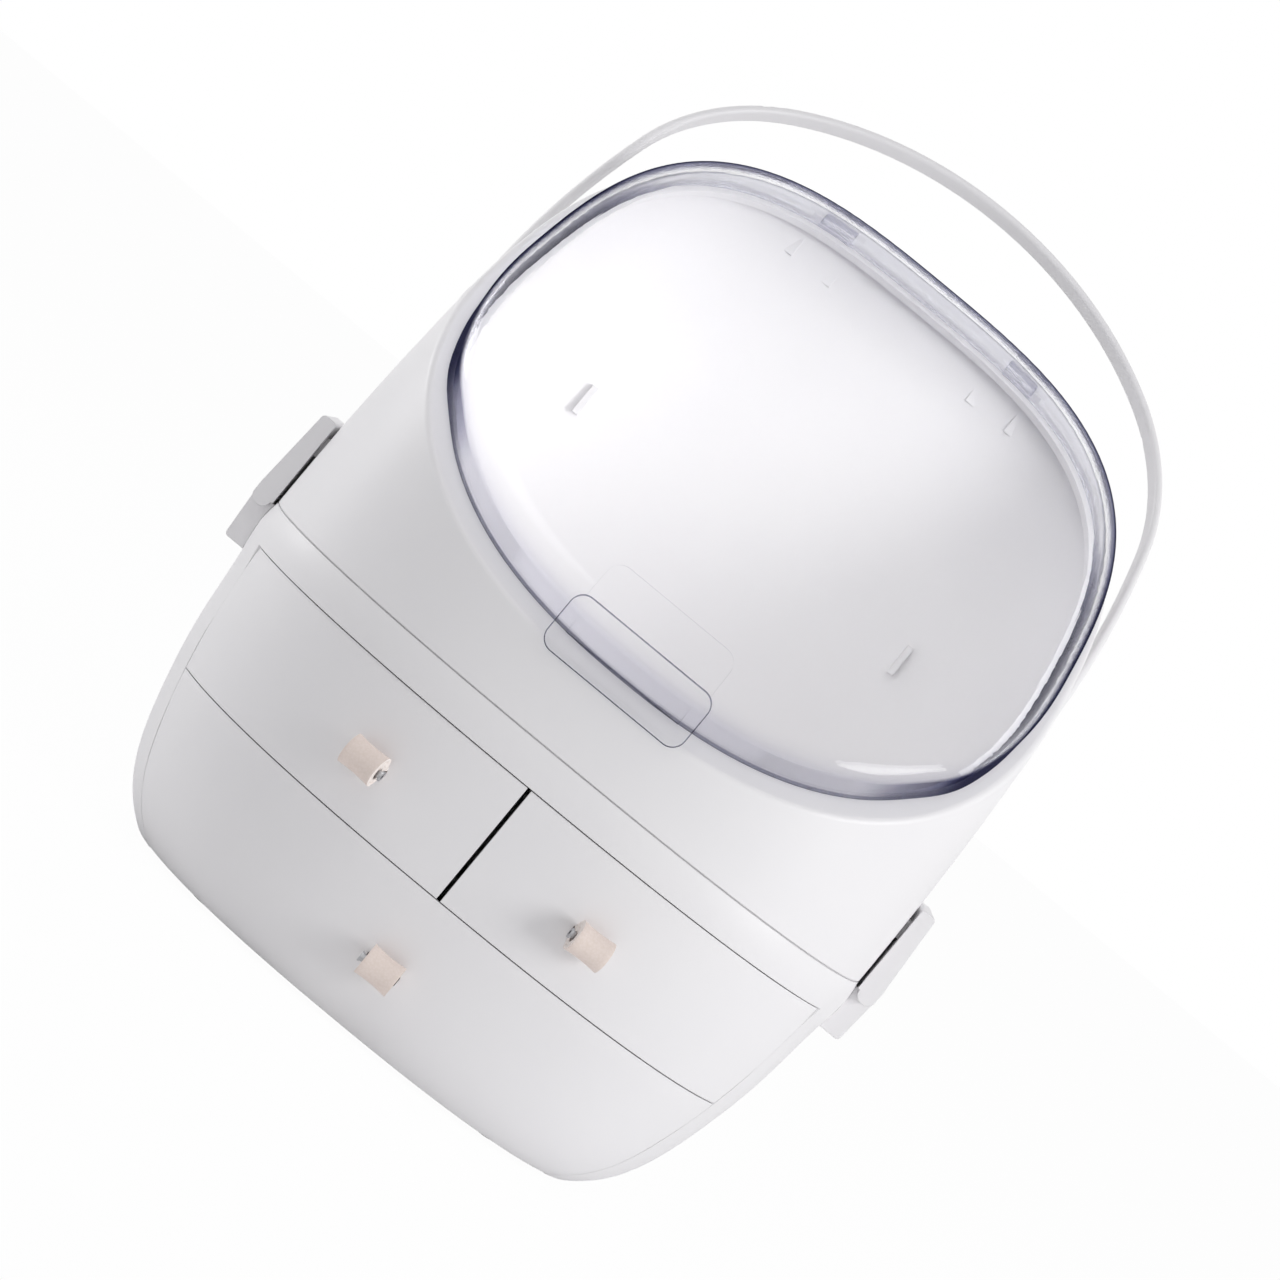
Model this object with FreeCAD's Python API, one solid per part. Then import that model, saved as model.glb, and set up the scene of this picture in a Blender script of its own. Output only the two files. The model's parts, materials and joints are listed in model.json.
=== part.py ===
"""Egg-shaped makeup storage box: drawer cabinet, lift-off case, clear lid, bail handle and side latches.

Millimetres. The origin is on the floor under the middle of the body, +Z is up and the drawers face -Y.
"""
import FreeCAD, Part
import functools
import math
import os

Vec = FreeCAD.Vector

# Body: an egg in two halves that meet at the seam
foot_height = 1.6
seam_z = 122.5
body_half_width = 135.5
body_half_depth = 101.0
front_fullness = 2.35
back_fullness = 3.0
base_width_drop = 33.5
base_depth_drop = 23.0
base_edge_share = 0.31
shoulder_width_drop = 16.0
shoulder_depth_drop = 5.5
shoulder_rise = 199.0
egg_top_z = 352.0
shell_wall = 3.0
wall_root = 1.8
seam_groove = 0.5
seam_groove_depth = 0.9

# Slanted rim that carries the lid
rim_mid_z = 245.0
rim_slope_deg = 43.2
rim_lip_width = 11.0
rim_lip_thick = 3.0
rim_edge_round = 2.6
case_floor = 3.0

# Clear lid
lid_seat_gap = 0.3
lid_inset_back = 6.0
lid_inset_front = 8.2
lid_step_start_deg = 22.0
lid_step_end_deg = 33.0
lid_wall = 2.6
lid_side_height = 10.6
lid_shoulder_height = 7.3
lid_crown_height = 24.0
grip_width = 60.0
grip_height = 23.0
grip_reach = 9.0
grip_below_rim = 7.0
grip_round = 5.5
grip_edge_round = 3.0
grip_case_gap = 0.5
grip_glue_gap = 0.15
thumb_pad_width = 54.0
thumb_pad_rise = 15.0
thumb_pad_thick = 1.2

# Lid hinge along the back edge of the rim
hinge_pin_radius = 1.3
hinge_barrel_radius = 2.7
hinge_fit = 0.05
hinge_spacing = 90.0
hinge_barrel_length = 14.0
hinge_ear_thick = 4.0
hinge_ear_margin = 0.8
hinge_ear_root = 16.0
hinge_side_gap = 0.3
hinge_out = 4.6
hinge_below = 7.0
hinge_arm_gap = 0.8
hinge_arm_thick = 3.2

# Drawers
front_depth = 58.0
front_plane_y = front_depth - body_half_depth
drawer_top_z = 108.6
drawer_split_z = 58.8
drawer_gap = 0.4
drawer_middle_gap = 1.6
front_skin = 3.0
tray_fit = 0.25
tray_wall = 2.2
tray_floor = 2.2
tray_back_inset = 35.0
tray_back_y = body_half_depth - tray_back_inset
tray_top_below_front = 5.0
upper_tray_inset = 35.5
lower_tray_inset = 43.5
upper_tray_reach = body_half_width - upper_tray_inset
lower_tray_reach = body_half_width - lower_tray_inset
tray_clearance = 0.6
runner_height = 2.0
runner_gap = 0.3
runner_width = 6.0
runner_middle_inset = 10.0
runner_side_inset = 12.0
wide_runner_inset = 20.0
runner_back_inset = 8.0
tray_bow_gap = 0.4

# Inside of the cabinet
frame_thick = 3.0
shelf_thick = 2.6
partition_thick = 2.4
deck_thick = 2.6
base_thick = 3.0
base_front_inset = 12.0
panel_fit = 0.25

# Rolled pulls
pull_width = 13.4
pull_radius = 5.2
pull_strap = 1.6
pull_reach = 12.4
pull_slot_fit = 0.3
pull_spread = 48.0
pull_upper_z = 80.0
pull_lower_z = 27.8
pull_pin_radius = 1.5
pull_pin_bore = 0.8
pull_pin_fit = 0.1
pull_pin_overhang = 1.8
pull_pin_sunk = 0.5
pull_head_radius = 2.0
pull_head_thick = 0.8
pull_tab_height = 4.0
pull_tab_gap = 1.8
pull_room_gap = 0.5

# Bail handle
pivot_y = 28.0
pivot_z = 218.0
handle_lean_deg = 38.0
handle_front_deg = 12.0
handle_length = 205.0
handle_top_radius = 145.0
handle_top_deg = 36.9
handle_corner_radius = 97.0
handle_thick = 3.5
handle_eye_thick = 3.8
handle_breadth = 8.0
handle_straight = 30.0
handle_eye_radius = 8.0
arm_inset = 5.3
arm_inner_x = body_half_width - arm_inset
arm_gap = 0.3
pivot_pad_radius = 12.0
pivot_pad_clear = 0.6
pivot_pad_depth = 25.0
pivot_pin_radius = 2.5
pivot_fit = 0.05
pivot_head_radius = 4.6
pivot_head_thick = 1.3
pivot_head_gap = 0.2
stop_thick = 2.8
stop_eye_gap = 0.8
stop_span_deg = 15.0
stop_gap_deg = 0.6

# Side latches
latch_width = 36.0
latch_cheek = 3.0
latch_pin_out = 4.9
latch_pin_x = body_half_width + latch_pin_out
latch_pin_z = 120.8
latch_pin_radius = 1.5
latch_pin_cover = 0.8
latch_fit = 0.05
latch_round = 3.6
latch_top_z = 157.5
latch_hook_height = 6.0
latch_stand_off = 0.4
latch_inner_x = body_half_width + latch_stand_off
latch_top_out = 6.3
latch_outer_top_x = body_half_width + latch_top_out
latch_side_gap = 0.3
latch_edge_round = 1.6
latch_block_bottom_z = 101.4
latch_block_taper = 1.4
catch_width = 24.0
catch_height = 8.0
catch_out = 3.0
catch_out_x = body_half_width + catch_out
catch_gap = 0.4

# Feet and divider ribs
foot_radius = 7.0
foot_pad_thick = 1.2
foot_pocket_fit = 0.1
foot_side_inset = 73.5
foot_front_inset = 53.0
foot_back_inset = 51.0
foot_x = body_half_width - foot_side_inset
foot_front_y = foot_front_inset - body_half_depth
foot_back_y = body_half_depth - foot_back_inset
clip_x = 78.0
clip_z = 219.0
clip_height = 13.0
clip_width = 2.6
clip_depth = 3.0

ring_points = 36
lid_points = 96
far = 400.0

slope = math.radians(rim_slope_deg)
rim_along = Vec(0, math.cos(slope), math.sin(slope))
rim_normal = Vec(0, -math.sin(slope), math.cos(slope))
rim_centre = Vec(0, 0, rim_mid_z)


def half_axes(z):
    """Half-width and half-depth of the egg at a height."""
    if z <= seam_z:
        r = (seam_z - z) / (seam_z - foot_height)
        drop = (1 - base_edge_share) * r ** 2 + base_edge_share * r ** 12
        return body_half_width - base_width_drop * drop, body_half_depth - base_depth_drop * drop
    r = (z - seam_z) / shoulder_rise
    return body_half_width - shoulder_width_drop * r * r, body_half_depth - shoulder_depth_drop * r * r


def plan_radius(z, angle, inset):
    """Distance from the middle axis to the egg's wall in one direction."""
    a, b = half_axes(z)
    n = front_fullness if math.sin(angle) < 0 else back_fullness
    x = abs(math.cos(angle)) / (a - inset)
    y = abs(math.sin(angle)) / (b - inset)
    return (x ** n + y ** n) ** (-1 / n)


def closed_spline(points):
    curve = Part.BSplineCurve()
    curve.interpolate(Points=points, PeriodicFlag=True)
    return Part.Wire(curve.toShape())


def ring(z, inset):
    points = []
    for i in range(ring_points):
        t = 2 * math.pi * i / ring_points
        r = plan_radius(z, t, inset)
        points.append(Vec(r * math.cos(t), r * math.sin(t), z))
    return closed_spline(points)


@functools.lru_cache(maxsize=None)
def egg(inset, low, high):
    """Solid of the egg between two heights, with its wall moved in by inset."""
    shares = [0.03, 0.08, 0.18, 0.36, 0.6, 0.82]
    lower = [foot_height + (seam_z - foot_height) * s for s in shares]
    upper = [seam_z + (egg_top_z - seam_z) * s for s in (0.25, 0.5, 0.75)]
    heights = [z for z in lower + [seam_z] + upper if low + 1 < z < high - 1]
    return Part.makeLoft([ring(z, inset) for z in [low] + heights + [high]], True)


def block(x0, x1, y0, y1, z0, z1):
    return Part.makeBox(x1 - x0, y1 - y0, z1 - z0, Vec(x0, y0, z0))


def rod(radius, start, end):
    axis = end - start
    return Part.makeCylinder(radius, axis.Length, start, axis)


def extrude_face(points, direction):
    return Part.Face(Part.makePolygon(points + [points[0]])).extrude(direction)


def mirror(shape):
    return shape.mirror(Vec(0, 0, 0), Vec(1, 0, 0))


def rim_point(u, v, w):
    """Point from the rim's own frame: across, up the slope, and off the rim."""
    return rim_centre + Vec(u, 0, 0) + rim_along * v + rim_normal * w


def rim_loop(count):
    """Where the egg's wall meets the rim plane, as (across, up the slope) pairs."""
    loop = []
    for i in range(count):
        t = 2 * math.pi * i / count
        z = rim_mid_z
        for _ in range(40):
            r = plan_radius(z, t, 0)
            z = rim_mid_z + math.tan(slope) * r * math.sin(t)
        loop.append((r * math.cos(t), r * math.sin(t) / math.cos(slope)))
    return loop


def inset_loop(loop, insets):
    """Move each point of a loop inwards, square to the loop."""
    count = len(loop)
    moved = []
    for i in range(count):
        before = loop[i - 1]
        after = loop[(i + 1) % count]
        du = after[0] - before[0]
        dv = after[1] - before[1]
        length = math.hypot(du, dv)
        moved.append((loop[i][0] - insets[i] * dv / length, loop[i][1] + insets[i] * du / length))
    return moved


def rim_wire(loop, w):
    return closed_spline([rim_point(u, v, w) for u, v in loop])


def rim_prism(inset, low, high):
    """Prism off the rim plane with the rim's outline moved in."""
    loop = inset_loop(rim_loop(ring_points), [inset] * ring_points)
    return Part.Face(rim_wire(loop, low)).extrude(rim_normal * (high - low))


def below_rim(w):
    """Everything on the lower side of a plane that lies w off the rim."""
    corners = [rim_point(u, v, w) for u, v in ((-far, -far), (far, -far), (far, far), (-far, far))]
    return extrude_face(corners, rim_normal * -2 * far)


def rim_ends():
    """Front and back ends of the rim along its slope."""
    loop = rim_loop(4)
    return loop[3][1], loop[1][1]


def lid_outline():
    """Lid edge: near the rim's outer edge at the back, stepped in across the front."""
    insets = []
    for i in range(lid_points):
        t = 360.0 * i / lid_points
        below = -math.degrees(math.asin(math.sin(math.radians(t))))
        s = (below - lid_step_start_deg) / (lid_step_end_deg - lid_step_start_deg)
        s = min(max(s, 0.0), 1.0)
        step = s * s * (3 - 2 * s)
        insets.append(lid_inset_back + (lid_inset_front - lid_inset_back) * step)
    return inset_loop(rim_loop(lid_points), insets)


@functools.lru_cache(maxsize=None)
def lid_body(grow, foot):
    """Solid dome of the lid, grown or shrunk all round, from its foot up."""
    outline = lid_outline()
    front, back = rim_ends()
    middle = (front + back) / 2
    more = grow / body_half_width
    side = lid_seat_gap + lid_side_height
    top = lid_seat_gap + lid_crown_height
    knee = side + lid_shoulder_height
    crown = top - knee
    spans = [[(1.0, foot), (1.0, side)],
             [(1.0, side), (0.992, side + lid_shoulder_height * 0.48),
              (0.965, side + lid_shoulder_height * 0.84), (0.93, knee)],
             [(0.93, knee), (0.75, knee + crown * 0.43), (0.58, knee + crown * 0.78), (0.4, top)]]
    dome = None
    for span in spans:
        wires = []
        for share, height in span:
            scale = share + more
            w = height if height == foot else height + grow
            wires.append(rim_wire([(u * scale, middle + (v - middle) * scale) for u, v in outline], w))
        part = Part.makeLoft(wires, True)
        dome = part if dome is None else dome.fuse(part)
    return dome.removeSplitter()


def lid_front():
    """Lowest point at the front of the lid's edge."""
    front, back = rim_ends()
    return rim_point(0, front + lid_inset_front, lid_seat_gap)


def rounded_block(x0, x1, y0, y1, z0, z1, radius, keep_low):
    """Block with rounded corners seen from the front; keep_low leaves the lower two square."""
    shape = block(x0, x1, y0, y1, z0, z1)
    middle = (z0 + z1) / 2
    edges = [e for e in shape.Edges if e.BoundBox.YLength > (y1 - y0) / 2]
    if keep_low:
        edges = [e for e in edges if e.BoundBox.ZMin > middle]
    return shape.makeFillet(radius, edges)


def grip_shape():
    """Rounded finger grip on the lid's front edge, with a thumb pad above it."""
    at = lid_front()
    low = at.z - grip_below_rim
    high = low + grip_height
    half = grip_width / 2
    case_front = -plan_radius(low, math.pi * 1.5, 0)
    outer = case_front - grip_reach
    pill = rounded_block(-half, half, outer, case_front - grip_case_gap, low, high, grip_round, False)
    pill = pill.makeFillet(grip_edge_round, [e for e in pill.Edges if e.BoundBox.YMax < outer + 0.01])
    inner = half - grip_round
    root = block(-inner, inner, outer + grip_edge_round, at.y + lid_wall, at.z + grip_case_gap * 2,
                 high - grip_edge_round)
    pad_half = thumb_pad_width / 2
    pad = rounded_block(-pad_half, pad_half, outer, at.y + far / 10, high - grip_round, high + thumb_pad_rise,
                        grip_round, True)
    pad = pad.common(lid_body(thumb_pad_thick, lid_seat_gap))
    return pill.fuse(root).fuse(pad).cut(lid_body(grip_glue_gap, lid_seat_gap - 2)).removeSplitter()


def rim_back(x):
    """How far up the slope the rim's back edge lies at one place across it."""
    z = rim_mid_z
    for _ in range(40):
        a, b = half_axes(z)
        y = b * (1 - (abs(x) / a) ** back_fullness) ** (1 / back_fullness)
        z = rim_mid_z + math.tan(slope) * y
    return y / math.cos(slope)


def hinge_axis():
    """Middle of the lid's hinge line, just behind the top of the back wall."""
    edge = rim_point(0, rim_ends()[1], 0)
    return Vec(0, edge.y + hinge_out, edge.z - hinge_below)


def hinge_places():
    return [-hinge_spacing / 2, hinge_spacing / 2]


def lid():
    """Clear dome with two hinge arms that reach over the rim to their barrels."""
    shell = lid_body(0, lid_seat_gap).cut(lid_body(-lid_wall, lid_seat_gap - 4))
    at = hinge_axis()
    v = (at - rim_centre).dot(rim_along)
    w = (at - rim_centre).dot(rim_normal)
    half = hinge_barrel_radius * 0.8
    top = hinge_arm_gap + hinge_arm_thick
    reach = Vec(hinge_barrel_length, 0, 0)
    for x in hinge_places():
        x0 = x - hinge_barrel_length / 2
        start = rim_back(abs(x) + hinge_barrel_length / 2) - lid_inset_back - lid_wall / 2
        corners = [(start, hinge_arm_gap), (v - half, hinge_arm_gap), (v - half, w), (v + half, w),
                   (v + half, hinge_arm_gap), (v, top), (start, top)]
        arm = extrude_face([rim_point(x0, i, j) for i, j in corners], reach)
        barrel = rod(hinge_barrel_radius, at + Vec(x0, 0, 0), at + Vec(x0, 0, 0) + reach)
        shell = shell.fuse(arm).fuse(barrel)
    bore = rod(hinge_pin_radius + hinge_fit, at - Vec(far / 2, 0, 0), at + Vec(far / 2, 0, 0))
    return shell.cut(bore).removeSplitter()


def hinge_ears():
    """Gusseted ears on the back of the case that carry the hinge pins."""
    at = hinge_axis()
    offset = hinge_barrel_length / 2 + hinge_side_gap
    tip = hinge_barrel_radius + hinge_ear_margin
    bore = rod(hinge_pin_radius, at - Vec(far / 2, 0, 0), at + Vec(far / 2, 0, 0))
    ears = []
    for x in hinge_places():
        for x0 in (x - offset - hinge_ear_thick, x + offset):
            x1 = x0 + hinge_ear_thick
            root = rim_back(max(abs(x0), abs(x1))) * math.cos(slope) - wall_root
            corners = [Vec(x0, root, at.z - hinge_ear_root), Vec(x0, root, at.z - hinge_ear_root * 0.4),
                       Vec(x0, at.y, at.z + tip), Vec(x0, at.y + tip, at.z)]
            ear = extrude_face(corners, Vec(hinge_ear_thick, 0, 0))
            ears.append(ear.fuse(rod(tip, at + Vec(x0, 0, 0), at + Vec(x1, 0, 0))).cut(bore))
    return ears


def hinge_pins():
    at = hinge_axis()
    reach = hinge_barrel_length / 2 + hinge_side_gap + hinge_ear_thick
    return [rod(hinge_pin_radius, at + Vec(x - reach, 0, 0), at + Vec(x + reach, 0, 0)) for x in hinge_places()]


def pivot_sector(radius_in, radius_out, from_deg, to_deg, x0, x1):
    """Piece of a ring round the handle's pivot, angles counted back from upright."""
    disc = rod(radius_out, Vec(x0, pivot_y, pivot_z), Vec(x1, pivot_y, pivot_z))
    disc = disc.cut(rod(radius_in, Vec(x0, pivot_y, pivot_z), Vec(x1, pivot_y, pivot_z)))
    corners = [Vec(x0, pivot_y, pivot_z)]
    for deg in (from_deg, to_deg):
        t = math.radians(deg)
        corners.append(Vec(x0, pivot_y + 2 * radius_out * math.sin(t), pivot_z + 2 * radius_out * math.cos(t)))
    return disc.common(extrude_face(corners, Vec(x1 - x0, 0, 0)))


def pivot_pad(wall):
    """Flat round seat for one handle eye, with its two stops, rooted in the wall."""
    face_x = arm_inner_x - arm_gap
    pad = rod(pivot_pad_radius, Vec(face_x - pivot_pad_depth, pivot_y, pivot_z), Vec(face_x, pivot_y, pivot_z)).cut(wall)
    inner = handle_eye_radius + stop_eye_gap
    edge = math.degrees(math.asin(handle_breadth / 2 / inner)) + stop_gap_deg
    for low, high in ((handle_lean_deg + edge, handle_lean_deg + edge + stop_span_deg),
                      (-handle_front_deg - edge - stop_span_deg, -handle_front_deg - edge)):
        pad = pad.fuse(pivot_sector(inner, pivot_pad_radius, low, high, face_x, face_x + stop_thick))
    return pad


def divider_rib():
    """One of the two short ribs on the inner back wall that locate a divider."""
    a, b = half_axes(clip_z)
    inner = shell_wall
    y = (b - inner) * (1 - (clip_x / (a - inner)) ** back_fullness) ** (1 / back_fullness)
    half = clip_width / 2
    return block(clip_x - half, clip_x + half, y - clip_depth, y + wall_root, clip_z - clip_height / 2,
                 clip_z + clip_height / 2)


def upper_case():
    bottom = seam_z + seam_groove
    face_x = arm_inner_x - arm_gap
    seat = Vec(face_x, pivot_y, pivot_z)
    body = egg(0, bottom, egg_top_z).common(below_rim(0))
    rim_edges = [e for e in body.Edges if e.BoundBox.ZMax > rim_mid_z and e.BoundBox.ZMin > seam_z + 9]
    body = body.makeFillet(rim_edge_round, rim_edges)
    room = egg(shell_wall, seam_z + case_floor, egg_top_z + 1).common(below_rim(-rim_lip_thick))
    shell = body.cut(room).cut(rim_prism(rim_lip_width, -rim_lip_thick - 0.5, 30))
    recess = rod(pivot_pad_radius + pivot_pad_clear, seat, seat + Vec(far, 0, 0))
    shell = shell.cut(recess).cut(mirror(recess))
    collar = Part.Face(ring(bottom, seam_groove_depth)).extrude(Vec(0, 0, -seam_groove))
    pad = pivot_pad(egg(shell_wall * 0.5, seam_z + case_floor, egg_top_z))
    sides = [pad, latch_catch(), divider_rib()]
    shell = shell.multiFuse([collar] + sides + [mirror(s) for s in sides] + hinge_ears())
    hole = rod(pivot_pin_radius, seat - Vec(shell_wall, 0, 0), seat + Vec(1, 0, 0))
    return shell.cut(hole).cut(mirror(hole)).removeSplitter()


def cabinet_shell():
    body = egg(0, foot_height, seam_z)
    deck_top = drawer_top_z + deck_thick
    front = block(-far, far, -far, frame_y(), -1, drawer_top_z)
    cavity = egg(shell_wall, foot_height - 1, drawer_top_z)
    well = egg(shell_wall, deck_top, seam_z + 1)
    return body.cut(cavity).cut(well).cut(front).removeSplitter()


def frame_y():
    return front_plane_y + drawer_gap


def drawer_heights(upper):
    """Lowest and highest edge of a drawer front."""
    if upper:
        return drawer_split_z + drawer_gap / 2, drawer_top_z - drawer_gap
    return foot_height + drawer_gap, drawer_split_z - drawer_gap / 2


def tray_heights(upper):
    low, high = drawer_heights(upper)
    floor = shelf_thick / 2 + drawer_split_z if upper else foot_height + base_thick
    return floor + runner_height + runner_gap, high - tray_top_below_front


def tray_sides(upper):
    if upper:
        return partition_thick / 2 + tray_clearance, upper_tray_reach
    return -lower_tray_reach, lower_tray_reach


def front_frame():
    """Flat bulkhead behind the drawer fronts, with one opening for each tray."""
    y0 = frame_y()
    inside = egg(shell_wall + panel_fit, foot_height + base_thick + panel_fit, drawer_top_z - panel_fit)
    plate = inside.common(block(-far, far, y0, y0 + frame_thick, -1, far))
    for upper, sides in ((True, (1, -1)), (False, (1,))):
        low, high = tray_heights(upper)
        x0, x1 = tray_sides(upper)
        for side in sides:
            left, right = sorted((x0 * side, x1 * side))
            plate = plate.cut(block(left - tray_clearance, right + tray_clearance, y0 - 1, y0 + frame_thick + 1,
                                    low - runner_height - runner_gap - panel_fit, high + tray_clearance))
    return plate


def drawer_shelf():
    inside = egg(shell_wall + panel_fit, drawer_split_z - shelf_thick / 2, drawer_split_z + shelf_thick / 2)
    return inside.common(block(-far, far, frame_y() + frame_thick, far, -1, far))


def drawer_partition():
    low = drawer_split_z + shelf_thick / 2
    inside = egg(shell_wall + panel_fit, low, drawer_top_z)
    half = partition_thick / 2
    return inside.common(block(-half, half, frame_y() + frame_thick, far, -1, far))


def base_plate():
    """Floor of the cabinet with a low plinth that it stands on and a pocket for each rubber foot."""
    top = foot_height + base_thick
    inner = egg(shell_wall + panel_fit, foot_height, top)
    back = inner.common(block(-far, far, frame_y() + frame_thick, far, -1, far))
    tongue = egg(base_front_inset, foot_height, top)
    tongue = tongue.common(block(-far, far, -far, frame_y() + frame_thick, -1, far))
    plinth = Part.Face(ring(foot_height, base_front_inset)).extrude(Vec(0, 0, -foot_height))
    plate = back.fuse(tongue).fuse(plinth)
    for x, y in foot_places():
        plate = plate.cut(rod(foot_radius + foot_pocket_fit, Vec(x, y, -1), Vec(x, y, foot_pad_thick)))
    return plate.removeSplitter()


def runners(upper):
    """Raised rails under the trays."""
    floor = drawer_split_z + shelf_thick / 2 if upper else foot_height + base_thick
    y0 = frame_y() + frame_thick
    x0, x1 = tray_sides(upper)
    low_x = max(x0, -x1)
    rails = []
    if upper:
        places = [low_x + runner_middle_inset, x1 - runner_side_inset, -low_x - runner_middle_inset, runner_side_inset - x1]
    else:
        places = [wide_runner_inset - x1, x1 - wide_runner_inset]
    for x in places:
        rails.append(block(x - runner_width / 2, x + runner_width / 2, y0, tray_back_y - runner_back_inset, floor,
                           floor + runner_height))
    return rails


def drawer_room(upper, side):
    """Block that one drawer front fills across the box."""
    low, high = drawer_heights(upper)
    x0 = drawer_middle_gap / 2 if upper else -far
    room = block(x0, far, -far, front_plane_y, low, high)
    return room if side > 0 else mirror(room)


def front_normal_deg(x, z):
    """How far the front's outward normal turns from -Y at a place on the front."""
    a, b = half_axes(z)
    n = front_fullness
    y = b * (1 - (abs(x) / a) ** n) ** (1 / n)
    gx = (abs(x) / a) ** (n - 1) / a
    gy = (y / b) ** (n - 1) / b
    return math.copysign(math.degrees(math.atan2(gx, gy)), x), -y


def place_on_front(shape, x, z):
    """Move a shape made at the origin, facing -Y, onto the drawer front."""
    turn, y = front_normal_deg(x, z)
    moved = shape.copy()
    moved.Placement = FreeCAD.Placement(Vec(x, y, z), FreeCAD.Rotation(Vec(0, 0, 1), turn))
    return moved


def pull_roll_y():
    """Place of the roll's axis in front of the drawer front."""
    return pull_radius - pull_reach


def pull_tab_span():
    """Front and back of the strap's tabs behind the drawer front."""
    return front_skin + pull_tab_gap, front_skin + pull_tab_gap + pull_strap


def pull_strap_shape():
    """Strap rolled round a steel tube, its two tails drawn through the front and turned up and down behind it."""
    half = pull_width / 2
    y = pull_roll_y()
    tab_front, tab_back = pull_tab_span()
    tall = pull_strap + pull_tab_height
    roll = rod(pull_radius, Vec(-half, y, 0), Vec(half, y, 0))
    tails = block(-half, half, y, tab_back, -pull_strap, pull_strap)
    tabs = block(-half, half, tab_front, tab_back, -tall, tall)
    bore = rod(pull_pin_radius + pull_pin_fit, Vec(-half, y, 0), Vec(half, y, 0))
    return roll.fuse(tails).fuse(tabs).cut(bore).removeSplitter()


def pull_pin_shape(side):
    """Steel tube inside the roll, with a small head that stands out at one end."""
    y = pull_roll_y()
    sunk = Vec(-side * (pull_width / 2 - pull_pin_sunk), y, 0)
    tip = Vec(side * (pull_width / 2 + pull_pin_overhang), y, 0)
    head = rod(pull_head_radius, tip, tip - Vec(side * pull_head_thick, 0, 0))
    return rod(pull_pin_radius, sunk, tip).fuse(head).cut(rod(pull_pin_bore, sunk, tip))


def pull_slot():
    half = pull_width / 2 + pull_slot_fit
    high = pull_strap + pull_slot_fit
    return block(-half, half, pull_roll_y(), pull_tab_span()[1], -high, high)


def pull_room():
    """Space behind the front for the strap's tabs."""
    half = pull_width / 2 + pull_room_gap
    high = pull_strap + pull_tab_height + pull_room_gap
    return block(-half, half, 0, pull_tab_span()[1] + pull_room_gap, -high, high)


def drawer_front(upper, side, x, z):
    low, high = drawer_heights(upper)
    skin = egg(0, low, high).cut(egg(front_skin, low - 1, high + 1))
    skin = skin.common(drawer_room(upper, side))
    return skin.cut(place_on_front(pull_slot(), x, z)).removeSplitter()


def tray_block(upper, side, inset, floor, edge):
    """Room of a tray: the bow behind the front, and a straight box behind it."""
    low, high = tray_heights(upper)
    x0, x1 = tray_sides(upper)
    bow_low = drawer_middle_gap / 2 + tray_bow_gap + edge if upper else -far
    top = high + 1 if floor else high
    bow = egg(front_skin + tray_fit + inset, low + floor, top)
    bow = bow.common(block(bow_low, far, -far, front_plane_y - edge, -1, far))
    box = egg(shell_wall + tray_clearance + inset, low + floor, top)
    box = box.common(block(x0 + edge, x1 - edge, front_plane_y - edge - 0.01, tray_back_y - edge, -1, far))
    room = bow.fuse(box)
    return room if side > 0 else mirror(room)


def drawer_tray(upper, side, x, z):
    outer = tray_block(upper, side, 0, 0, 0)
    inner = tray_block(upper, side, tray_wall, tray_floor, tray_wall)
    tray = outer.cut(inner)
    return tray.cut(place_on_front(pull_room(), x, z)).removeSplitter()


def handle_bends():
    """Right half of the bail's middle line from the top down: each arc's centre and turn, in its own plane."""
    first = math.radians(handle_top_deg)
    x1 = handle_top_radius * math.sin(first)
    z1 = handle_length - handle_top_radius * (1 - math.cos(first))
    arm_x = arm_inner_x + handle_eye_thick / 2
    tilt = 0.1
    for _ in range(60):
        second = math.pi / 2 - tilt
        x2 = x1 + handle_corner_radius * (math.sin(second) - math.sin(first))
        z2 = z1 - handle_corner_radius * (math.cos(first) - math.cos(second))
        tilt = 2 * math.atan2(arm_x - x2, z2 - handle_straight)
    side_radius = (z2 - handle_straight) / math.sin(tilt)
    corner = Vec(x1 - handle_corner_radius * math.sin(first), 0, z1 - handle_corner_radius * math.cos(first))
    return [(Vec(0, 0, handle_length - handle_top_radius), handle_top_deg),
            (corner, math.degrees(second - first)),
            (Vec(arm_x - side_radius, 0, handle_straight), math.degrees(tilt))]


def bail_section():
    """Flat bar with round edges, square to the bail at the middle of its top."""
    t = handle_thick / 2
    flat = handle_breadth / 2 - t
    low = handle_length - t
    high = handle_length + t
    edges = [Part.makeLine(Vec(0, -flat, high), Vec(0, flat, high)),
             Part.Arc(Vec(0, flat, high), Vec(0, flat + t, handle_length), Vec(0, flat, low)).toShape(),
             Part.makeLine(Vec(0, flat, low), Vec(0, -flat, low)),
             Part.Arc(Vec(0, -flat, low), Vec(0, -flat - t, handle_length), Vec(0, -flat, high)).toShape()]
    return Part.Face(Part.Wire(edges))


def half_bail():
    """Bar turned through the three bends and carried straight down into the eye."""
    axis = Vec(0, 1, 0)
    section = bail_section()
    pieces = []
    for centre, turn in handle_bends():
        pieces.append(section.revolve(centre, axis, turn))
        section.rotate(centre, axis, turn)
    pieces.append(section.extrude(Vec(0, 0, -handle_straight)))
    return pieces[0].multiFuse(pieces[1:])


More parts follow.
